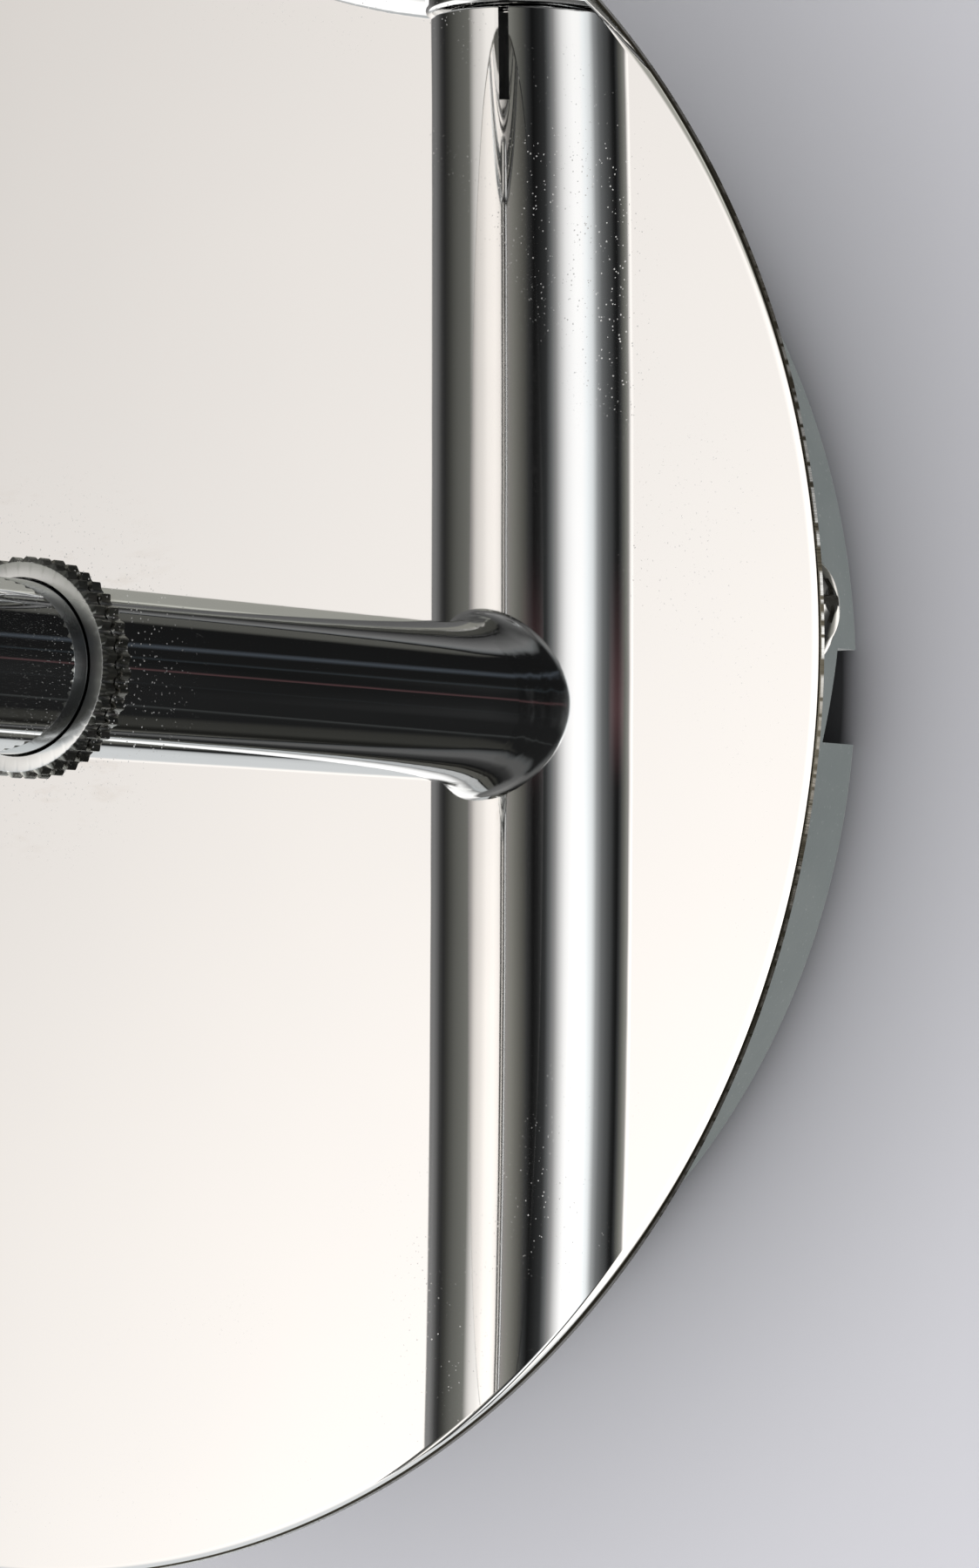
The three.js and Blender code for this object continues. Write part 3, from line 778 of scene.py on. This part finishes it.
def column_pieces():
    """The turned pieces on the sleeve's axis."""
    middle = (0, COLUMN_Y, 0)
    cap_low, cap_high = span("sleeve_cap")
    cap = rounded([
        (0, cap_low.z, 0),
        (SLEEVE_RADIUS, cap_low.z, 1.0),
        (SLEEVE_RADIUS, cap_high.z - 5, 0.15),
        (SLEEVE_RADIUS - 2.15, cap_high.z - 5, 0),
        (SLEEVE_RADIUS - 2.15, cap_high.z, 0.4),
        (0, cap_high.z, 0),
    ])
    stand_for(lathe("sleeve_end_cap", cap, "Z", middle), "sleeve_cap")
    bush_low, bush_high = span("sleeve_bush")
    bush = ring_outline(ROD_RADIUS + 0.07, SLEEVE_RADIUS - 2.1, bush_low.z, bush_high.z)
    stand_for(lathe("nylon_bush", bush, "Z", middle, 128), "sleeve_bush")
    rod = ring_outline(ROD_RADIUS - 1.5, ROD_RADIUS, ROD_LOW.z, ROD_HIGH.z, 0.2)
    stand_for(lathe("rising_rod", rod, "Z", middle, 256), "rod_tube")
    glide_low, glide_high = span("rod_glide")
    spigot = ROD_RADIUS - 1.57
    shoulder = glide_high.z - 12
    glide = rounded([
        (0, glide_low.z, 0),
        (SLEEVE_RADIUS - 2.1, glide_low.z, 0.7),
        (SLEEVE_RADIUS - 2.1, shoulder, 0.3),
        (spigot, shoulder, 0),
        (spigot, glide_high.z, 0.6),
        (0, glide_high.z, 0),
    ])
    stand_for(lathe("nylon_glide", glide, "Z", middle, 128), "rod_glide")


# ---------------------------------------------------------------- boss and bow

BOW_ROD_RADIUS = 3.5
EYE_RADIUS = 7.0
BOW_RADIUS = BOW_HIGH.x - 4.0
BOSS_BOTTOM = SLEEVE_HIGH.z + 0.4


def bow_sweep(name, radius, around=28, steps=128):
    """The half circle of round rod below the mirror, with flat ends."""
    verts = []
    middle = Vector((0, COLUMN_Y, MIRROR_HEIGHT))
    for step in range(steps + 1):
        angle = math.pi + math.pi * step / steps
        outwards = Vector((math.cos(angle), 0, math.sin(angle)))
        for k in range(around):
            turn = 2 * math.pi * k / around
            offset = outwards * math.cos(turn) + Vector((0, 1, 0)) * math.sin(turn)
            verts.append(middle + outwards * BOW_RADIUS + offset * radius)
    faces = [tuple(range(around)), tuple(range(len(verts) - 1, len(verts) - around - 1, -1))]
    for step in range(steps):
        for k in range(around):
            n = (k + 1) % around
            here, there = step * around, (step + 1) * around
            faces.append((here + k, here + n, there + n, there + k))
    return new_object(name, verts, faces)


def mirror_bow():
    bow = bow_sweep("bow", BOW_ROD_RADIUS)
    centre = (0, COLUMN_Y, MIRROR_HEIGHT)
    eyes = []
    for side in (-1, 1):
        ends = sorted((side * (BOW_RADIUS - 4), side * (BOW_RADIUS + 4)))
        outline = rounded([
            (0, ends[0], 0),
            (EYE_RADIUS, ends[0], 0.7),
            (EYE_RADIUS, ends[1], 0.7),
            (0, ends[1], 0),
        ])
        eyes.append(lathe("tool", outline, "X", centre, 96))
    combine(bow, eyes, "UNION")
    combine(bow, [pin(2.1, -100, 100, "X", centre)])
    return stand_for(bow, "mirror_bow")


def bow_boss():
    low, high = BOSS_LOW.z, BOSS_HIGH.z
    spigot = ROD_RADIUS - 1.6
    outline = rounded([
        (0, low, 0),
        (spigot, low, 0.5),
        (spigot, BOSS_BOTTOM, 0),
        (BOSS_RADIUS, BOSS_BOTTOM, 0.7),
        (BOSS_RADIUS, high, 1.0),
        (0, high, 0),
    ], 6)
    boss = lathe("boss", outline, "Z", (0, COLUMN_Y, 0), 256)
    return stand_for(combine(boss, [bow_sweep("tool", BOW_ROD_RADIUS + 0.05)]), "bow_boss")


# ---------------------------------------------------------------- mirror head


def mirror_head():
    centre = (0, COLUMN_Y, MIRROR_HEIGHT)
    band_low, band_high = span("mirror_band")
    band_radius = (band_high.x - band_low.x) / 2
    half = (band_high.y - band_low.y) / 2
    bore = band_radius - 2
    band = lathe("head_band", ring_outline(bore, band_radius, -half, half, 0.2), "Y", centre, 256)
    stand_for(combine(band, [pin(2.1, -100, 100, "X", centre)]), "mirror_band")
    lip = MIRROR_RADIUS - 4.5
    for name, node, side in (("bezel_front", "front_bezel", -1), ("bezel_rear", "rear_bezel", 1)):
        outline = rounded([
            (lip, side * MIRROR_HALF_DEPTH, 0.5),
            (MIRROR_RADIUS, side * MIRROR_HALF_DEPTH, 1.6),
            (MIRROR_RADIUS, side * (half - 4.5), 0.25),
            (MIRROR_RADIUS - 0.9, side * (half - 4.5), 0),
            (MIRROR_RADIUS - 0.9, side * (half + 0.3), 0),
            (lip, side * (half + 0.3), 0.3),
        ], 8)
        stand_for(lathe(name, outline, "Y", centre, 320), node)
    glass_low, glass_high = span("plain_glass")
    radius = (glass_high.x - glass_low.x) / 2
    back = glass_high.y - COLUMN_Y
    plain = rounded([(0, back, 0), (radius, back, 0.2), (radius, -half, 0.3), (0, -half, 0)])
    stand_for(lathe("glass_plain", plain, "Y", centre, 192), "plain_glass")
    dish = [(0, -back), (radius, -back), (radius, half - 0.2), (radius - 0.2, half)]
    rings = 24
    for step in range(1, rings + 1):
        inward = 1 - step / rings
        dish.append(((radius - 0.2) * inward, half - 1.2 * (1 - inward * inward)))
    stand_for(lathe("glass_magnifying", dish, "Y", centre, 192, 40), "magnifying_glass")
    for side, word in ((1, "right"), (-1, "left")):
        ends = sorted((side * (MIRROR_RADIUS + 0.3), side * (BOW_RADIUS - 4.3)))
        washer = ring_outline(2.2, 6, ends[0], ends[1], 0.3)
        stand_for(lathe(word + "_friction_washer", washer, "X", centre, 96), word + "_washer")
        knob(side, word + "_knob")


# ---------------------------------------------------------------- drum, plate and screws

WALL_SCREW_CIRCLE = 48
SIDE_SCREW_DEPTH = 9.2  # from the wall
SIDE_SCREW_RISE = 6.1  # the first side screw, above the drum's axis
SIDE_SCREW_START = math.asin(SIDE_SCREW_RISE / DRUM_RADIUS)
SIDE_SCREW_ANGLES = [SIDE_SCREW_START + k * 2 * math.pi / 3 for k in range(3)]
NOTCH_TOP, NOTCH_LOW = 1.45, -7.1
NOTCH_DEPTH_TOP, NOTCH_DEPTH_LOW = 3.5, 5.9
PLATE_RADIUS = DRUM_RADIUS - 2.8
DRUM_MIDDLE = (0, 0, DRUM_HEIGHT)


def about_drum(angle):
    """Turns a thing lying along +X round the drum's axis."""
    middle = Matrix.Translation(Vector(DRUM_MIDDLE) * MM)
    return middle @ Matrix.Rotation(-angle, 4, "Y") @ middle.inverted()


def notch_tool(low, high, margin):
    return prism([
        (1, NOTCH_LOW - margin),
        (1, NOTCH_TOP + margin),
        (-NOTCH_DEPTH_TOP - margin, NOTCH_TOP + margin),
        (-NOTCH_DEPTH_LOW - margin, NOTCH_LOW - margin),
    ], low, high)


def side_hole(angle):
    centre = (0, -SIDE_SCREW_DEPTH, DRUM_HEIGHT)
    return pin(2.3, 50, 80, "X", centre, about_drum(angle))


def drum():
    front = DRUM_LOW.y
    inner = DRUM_RADIUS - 2.5
    outline = rounded([
        (15.5, front, 0.3),
        (DRUM_RADIUS, front, 1.2),
        (DRUM_RADIUS, 0, 0.35),
        (inner, 0, 0.2),
        (inner, front + 2.5, 0.8),
        (15.5, front + 2.5, 0),
    ], 6)
    shell = lathe("drum_shell", outline, "Y", DRUM_MIDDLE, 320)
    tools = [side_hole(angle) for angle in SIDE_SCREW_ANGLES]
    combine(shell, tools + [notch_tool(60, 75, 0)])
    return stand_for(shell, "drum")


def base_plate():
    depth = span("base_plate")[0].y
    outline = rounded([
        (0, -2.5, 0),
        (PLATE_RADIUS - 2, -2.5, 0.6),
        (PLATE_RADIUS - 2, depth, 0.3),
        (PLATE_RADIUS, depth, 0.3),
        (PLATE_RADIUS, 0, 0.5),
        (0, 0, 0),
    ])
    plate = lathe("wall_plate", outline, "Y", DRUM_MIDDLE, 256)
    tools = [side_hole(angle) for angle in SIDE_SCREW_ANGLES]
    for k in range(3):
        angle = math.pi / 2 + k * 2 * math.pi / 3
        centre = (
            WALL_SCREW_CIRCLE * math.cos(angle),
            0,
            WALL_SCREW_CIRCLE * math.sin(angle) + DRUM_HEIGHT,
        )
        tools.append(pin(2.6, -5, 5, "Y", centre))
    combine(plate, tools + [notch_tool(60, 66, 1)])
    return stand_for(plate, "base_plate")


SCREW_SHANK = 2.0
SCREW_LENGTH = 6.5
SCREW_HEAD_HEIGHT = 2.75
RECESS_ARM, RECESS_HALF, RECESS_DEPTH = 2.0, 0.45, 1.3


def side_screws():
    """Pan-head screws with a cross recess, set round the drum's side."""
    seat = DRUM_RADIUS + 0.02
    head_low, head_high = span("side_screw_1")
    radius = (head_high.y - head_low.y) / 2
    top = seat + SCREW_HEAD_HEIGHT
    outline = rounded([
        (0, seat - SCREW_LENGTH, 0),
        (SCREW_SHANK, seat - SCREW_LENGTH, 0.4),
        (SCREW_SHANK, seat, 0),
        (radius, seat, 0.1),
        (radius, seat + 0.35, 0.15),
        (radius * 0.66, seat + 1.75, 0.3),
        (radius * 0.24, top, 0.12),
        (0, top, 0),
    ], 5)
    for index, angle in enumerate(SIDE_SCREW_ANGLES, 1):
        centre = (0, -SIDE_SCREW_DEPTH, DRUM_HEIGHT)
        screw = lathe("pan_screw_%d" % index, outline, "X", centre, 96)
        recess = []
        for a, b in ((RECESS_ARM, RECESS_HALF), (RECESS_HALF, RECESS_ARM)):
            bar = prism([(-a, -b), (a, -b), (a, b), (-a, b)], top - RECESS_DEPTH, top + 1)
            bar.data.transform(Matrix.Translation(Vector(centre) * MM))
            recess.append(bar)
        combine(screw, recess)
        screw.data.transform(about_drum(angle))
        stand_for(screw, "side_screw_%d" % index, SCREW_CHROME)


# ---------------------------------------------------------------- build

cover_disc()
knurled_nut()
arm_tube()
sleeve_tube()
column_pieces()
mirror_bow()
bow_boss()
mirror_head()
drum()
base_plate()
side_screws()

for node, obj in frame["nodes"].items():
    material = MATERIALS[NODE_SLOT[node]]
    for slot in obj.material_slots:
        slot.material = material

# ---------------------------------------------------------------- stage

SHADE_DEPTH = 0.62  # how dark the painted shade is where the drum's rim touches the wall
SHADE_WIDTH = 0.003  # metres
SHADE_START = DRUM_RADIUS - 0.4
SHADE_LEAST = 0.03


def touching_shade(g):
    """A painted shade on the wall close round the drum's rim: 1 where the wall is unshaded."""
    apart = g.node("SeparateXYZ", {"Vector": g.place})
    rise = g.math("SUBTRACT", apart.outputs["Z"], DRUM_HEIGHT * MM)
    square = g.math("ADD", g.math("POWER", apart.outputs["X"], 2.0), g.math("POWER", rise, 2.0))
    beyond = g.math("SUBTRACT", g.math("SQRT", square), SHADE_START * MM)
    fall = g.math("EXPONENT", g.math("DIVIDE", beyond, -SHADE_WIDTH))
    light = g.math("SUBTRACT", 1.0, g.math("MULTIPLY", fall, SHADE_DEPTH))
    return g.math("MAXIMUM", light, SHADE_LEAST)


def stage_plane(name, corners, tint, one_sided):
    """A backdrop seen by the camera only; a one-sided one can't be seen from behind."""
    g = Graph(name)
    mottled = g.noise(3, 2)
    clean = g.mix(g.spread(mottled, 0.3, 0.7), tint, tuple(0.985 * c for c in tint[:3]) + (1,))
    # The mottled tint is darkened by a painted shade close round the drum's rim.
    g.set(Base_Color=g.mix(touching_shade(g), colour(0.02, 0.02, 0.022), clean), Roughness=0.9)
    if one_sided:
        clear = g.node("BsdfTransparent")
        facing = g.node("NewGeometry")
        blend = g.node("MixShader", {0: facing.outputs["Backfacing"]})
        g.put(blend.inputs[1], g.shader.outputs["BSDF"])
        g.put(blend.inputs[2], clear.outputs["BSDF"])
        g.put(g.tree.nodes["Material Output"].inputs["Surface"], blend.outputs["Shader"])
    mesh = bpy.data.meshes.new(name)
    mesh.from_pydata(corners, [], [tuple(range(len(corners)))])
    plane = bpy.data.objects.new(name, mesh)
    mesh.materials.append(g.material)
    scene.collection.objects.link(plane)
    plane.visible_diffuse = False
    plane.visible_glossy = False
    plane.visible_shadow = False
    plane.visible_transmission = False
    return plane


WALL_Y = 0.0004
FLOOR_Z = -0.42
STAGE = 3.0
stage_plane("wall", [
    (-STAGE, WALL_Y, -STAGE),
    (STAGE, WALL_Y, -STAGE),
    (STAGE, WALL_Y, STAGE),
    (-STAGE, WALL_Y, STAGE),
], colour(0.74, 0.735, 0.78), True)
stage_plane("floor", [
    (-STAGE, -STAGE, FLOOR_Z),
    (STAGE, -STAGE, FLOOR_Z),
    (STAGE, WALL_Y, FLOOR_Z),
    (-STAGE, WALL_Y, FLOOR_Z),
], colour(0.80, 0.79, 0.78), True)


WALL_SIDE = (48, 132)  # the directions filled by the wall and the disc
GLOSS = 0.9  # how strongly the wall side repeats the room, as the polished disc does
WARM = (1.03, 1.0, 0.965)
OLIVE = (1.0, 1.01, 0.92)
COOL = (0.96, 1.0, 1.02)
NEUTRAL = (1.0, 1.0, 1.0)
ROOM = [  # directions in degrees from +X, seen from above, and their brightness
    (NEUTRAL, ((0, 1.40), (8, 1.40), (14, 1.30), (20, 1.13), (26, 0.77), (32, 0.35))),  # right soft box
    (COOL, ((38, 0.15), (43, 0.04))),
    (OLIVE, ((135, 0.20), (142, 0.17), (154, 0.13), (162, 0.09), (170, 0.05))),  # left wall
    (NEUTRAL, ((178, 0.03), (186, 0.06), (193, 0.13), (205, 0.22), (222, 0.22))),
    (WARM, ((228, 0.46), (233, 0.83), (237, 0.99), (242, 1.08), (249, 1.32))),  # left soft box
    (WARM, ((258, 1.40), (263, 1.28), (268, 0.95), (273, 0.33))),
    (OLIVE, ((279, 0.27), (285, 0.19), (291, 0.12))),
    (COOL, ((297, 0.05), (303, 0.010), (309, 0.022), (316, 0.07), (322, 0.10))),  # by the camera
    (COOL, ((331, 0.18), (339, 0.40), (346, 1.0), (354, 1.30))),
]
ROOM_ABOVE = [
    (NEUTRAL, ((0, 0.30), (40, 0.16), (135, 0.20), (200, 0.16))),
    (OLIVE, ((228, 0.40), (252, 0.44), (254, 0.44), (255.5, 1.1), (257, 0.14), (281, 0.12))),
    (COOL, ((284, 0.012), (318, 0.015), (330, 0.12), (345, 0.28))),
]
ROOM_BELOW = [
    (NEUTRAL, ((0, 0.12), (22, 0.12), (40, 0.05))),
    (NEUTRAL, ((135, 0.35), (150, 1.0), (165, 1.28), (215, 1.28))),
    (COOL, ((222, 0.50), (229, 0.42), (231, 0.60), (246, 0.62), (251, 0.54))),
    (COOL, ((253, 0.014), (255, 0.014))),
    (OLIVE, ((257, 0.12), (274, 0.11), (276, 0.012), (279, 0.012), (282, 0.036), (288, 0.032))),
    (COOL, ((291, 0.012), (318, 0.015), (330, 0.05), (345, 0.10))),
]
LEVEL_ZONE = ((-90, 0.0), (-15, 0.0), (-9.5, 1.0), (10.5, 1.0), (13.5, 0.0), (90, 0.0))
ABOVE_ZONE = ((-90, 0.0), (10.5, 0.0), (13.5, 1.0), (42, 1.0), (50, 0.0), (90, 0.0))
BELOW_ZONE = ((-90, 0.0), (-58, 0.0), (-50, 1.0), (-15, 1.0), (-9.5, 0.0), (90, 0.0))
END_ZONE = ((-90, 0.25), (-58, 0.14), (-50, 0.0), (42, 0.0), (50, 0.12), (90, 0.40))
SHADE = ((-90, 1.25), (-12, 1.25), (-5, 1.18), (1.5, 1.0), (9.5, 0.86), (20, 0.86), (90, 0.86))
MATT_ROOM = ((-90, 1.12), (-30, 1.10), (30, 1.0), (90, 0.95))  # an even light for what isn't polished
CAMERA_SIDE = ((0, 0.0), (286, 0.0), (292, 1.0), (316, 1.0), (322, 0.0))
FINE_LINES = (  # thin lit edges in the dark by the camera: elevation, half width, colour
    (-24.0, 0.8, (0.020, 0.022, 0.022)),
    (-8.0, 0.4, (0.008, 0.010, 0.011)),
    (3.1, 0.5, (0.100, 0.048, 0.052)),
    (11.5, 0.8, (0.012, 0.016, 0.019)),
    (20.5, 2.0, (0.028, 0.034, 0.042)),
)
LINE_GAIN = 20  # the lines are faint, so their ramp holds them brighter than they are
RAMP_LIMIT = 2.0  # colour ramps hold brightness as a part of this


def round_stops(groups):
    """The groups' stops in order, with the wall side filled in as a reflection of the room."""
    stops = []
    for tint, steps in groups:
        stops += [(angle, tuple(bright * part for part in tint)) for angle, bright in steps]
    mirrored = [(360 - angle, tuple(GLOSS * part for part in tint)) for angle, tint in stops]
    first, last = WALL_SIDE
    wall_side = [stop for stop in mirrored if first < stop[0] < last]
    room_side = [stop for stop in stops if not first < stop[0] < last]
    return sorted(room_side + wall_side)


def tint_at(stops, angle):
    for (low, first), (high, last) in zip(stops, stops[1:]):
        if low <= angle <= high:
            part = (angle - low) / (high - low)
            return tuple(a + (b - a) * part for a, b in zip(first, last))
    return stops[-1][1]


class WorldGraph:
    """The world's nodes: brightness as a function of the direction looked in."""

    def __init__(self, tree):
        self.tree = tree
        tree.nodes.clear()

    def node(self, kind, **settings):
        made = self.tree.nodes.new("ShaderNode" + kind)
        for key, value in settings.items():
            setattr(made, key, value)
        return made

    def math(self, operation, a, b=0.0):
        made = self.node("Math", operation=operation)
        for socket, value in zip(made.inputs, (a, b)):
            if isinstance(value, bpy.types.NodeSocket):
                self.tree.links.new(value, socket)
            else:
                socket.default_value = value
        return made.outputs["Value"]

    def mix(self, blend, a, b, factor=1.0):
        made = self.node("Mix", data_type="RGBA", blend_type=blend)
        sockets = (made.inputs["Factor"], made.inputs[6], made.inputs[7])
        for socket, value in zip(sockets, (factor, a, b)):
            if isinstance(value, bpy.types.NodeSocket):
                self.tree.links.new(value, socket)
            else:
                socket.default_value = value
        return made.outputs[2]

    def ramp(self, value, stops):
        made = self.node("ValToRGB")
        self.tree.links.new(value, made.inputs["Fac"])
        elements = made.color_ramp.elements
        while len(elements) > 1:
            elements.remove(elements[0])
        for index, (place, tint) in enumerate(stops):
            element = elements[0] if index == 0 else elements.new(place)
            element.position = place
            element.color = (*(part / RAMP_LIMIT for part in tint), 1)
        return made.outputs["Color"]

    def around(self, turn, groups):
        """Brightness by azimuth, in two ramps because one holds only 32 stops."""
        stops = round_stops(groups)
        stops = [(0, stops[0][1])] + stops + [(360, stops[0][1])]
        middle = tint_at(stops, 180)
        first = [stop for stop in stops if stop[0] < 180] + [(180, middle)]
        last = [(180, middle)] + [stop for stop in stops if stop[0] > 180]
        near = self.ramp(turn, [(angle / 360, tint) for angle, tint in first])
        far = self.ramp(turn, [(angle / 360, tint) for angle, tint in last])
        return self.mix("MIX", near, far, self.math("GREATER_THAN", turn, 0.5))

    def upwards(self, height, stops):
        return self.ramp(height, [((angle + 90) / 180, (level,) * 3) for angle, level in stops])

    def choose(self, factor, first, second):
        made = self.node("MixShader")
        for socket, value in zip(made.inputs, (factor, first, second)):
            self.tree.links.new(value, socket)
        return made.outputs["Shader"]

    def background(self, tint, strength=1.0):
        made = self.node("Background")
        made.inputs["Strength"].default_value = strength
        if isinstance(tint, bpy.types.NodeSocket):
            self.tree.links.new(tint, made.inputs["Color"])
        else:
            made.inputs["Color"].default_value = tint
        return made.outputs["Background"]


def studio():
    """Soft boxes and dark cards round the object, drawn as a world."""
    world = bpy.data.worlds.new("studio")
    scene.world = world
    world.use_nodes = True
    g = WorldGraph(world.node_tree)
    coords = g.node("TexCoord")
    apart = g.node("SeparateXYZ")
    g.tree.links.new(coords.outputs["Generated"], apart.inputs["Vector"])
    x, y, z = (apart.outputs[k] for k in "XYZ")
    azimuth = g.math("ARCTAN2", g.math("MULTIPLY", y, -1.0), g.math("MULTIPLY", x, -1.0))
    turn = g.math("ADD", g.math("DIVIDE", azimuth, 2 * math.pi), 0.5)
    height = g.math("ADD", g.math("DIVIDE", g.math("ARCSINE", z), math.pi), 0.5)
    total = g.upwards(height, END_ZONE)
    for groups, zone in ((ROOM, LEVEL_ZONE), (ROOM_ABOVE, ABOVE_ZONE), (ROOM_BELOW, BELOW_ZONE)):
        levels = g.upwards(height, [(angle, RAMP_LIMIT * level) for angle, level in zone])
        total = g.mix("ADD", total, g.mix("MULTIPLY", g.around(turn, groups), levels))
    total = g.mix("MULTIPLY", total, g.upwards(height, SHADE))
    dark = (0, 0, 0)
    lines = [(-90, dark)]
    for elevation, half, tint in FINE_LINES:
        lit_tint = tuple(LINE_GAIN * part for part in tint)
        lines += [(elevation - half, dark), (elevation, lit_tint), (elevation + half, dark)]
    streaks = g.ramp(height, [((angle + 90) / 180, tint) for angle, tint in lines])
    side = g.ramp(turn, [(angle / 360, (level,) * 3) for angle, level in CAMERA_SIDE])
    total = g.mix("ADD", total, g.mix("MULTIPLY", streaks, side), RAMP_LIMIT / LINE_GAIN)
    seen = g.node("LightPath")
    polished = g.background(total, RAMP_LIMIT * RAMP_LIMIT)
    matt = g.background(g.upwards(height, MATT_ROOM), RAMP_LIMIT)
    lit = g.choose(seen.outputs["Is Diffuse Ray"], polished, matt)
    shown = g.choose(seen.outputs["Is Camera Ray"], lit, g.background(colour(0.80, 0.79, 0.80)))
    output = g.node("OutputWorld")
    g.tree.links.new(shown, output.inputs["Surface"])


def soft_light(name, place, size, power):
    """A wide soft light that neither the camera nor a reflection shows."""
    data = bpy.data.lights.new(name, "AREA")
    data.shape = "SQUARE"
    data.size = size
    data.energy = power
    light = bpy.data.objects.new(name, data)
    scene.collection.objects.link(light)
    light.location = place
    light.rotation_euler = (-Vector(place)).to_track_quat("-Z", "Y").to_euler()
    light.visible_glossy = False
    light.visible_camera = False


studio()
soft_light("studio_light", (0.75, -1.0, -0.75), 0.5, 0.3)
scene.view_settings.view_transform = "Standard"
scene.view_settings.look = "None"
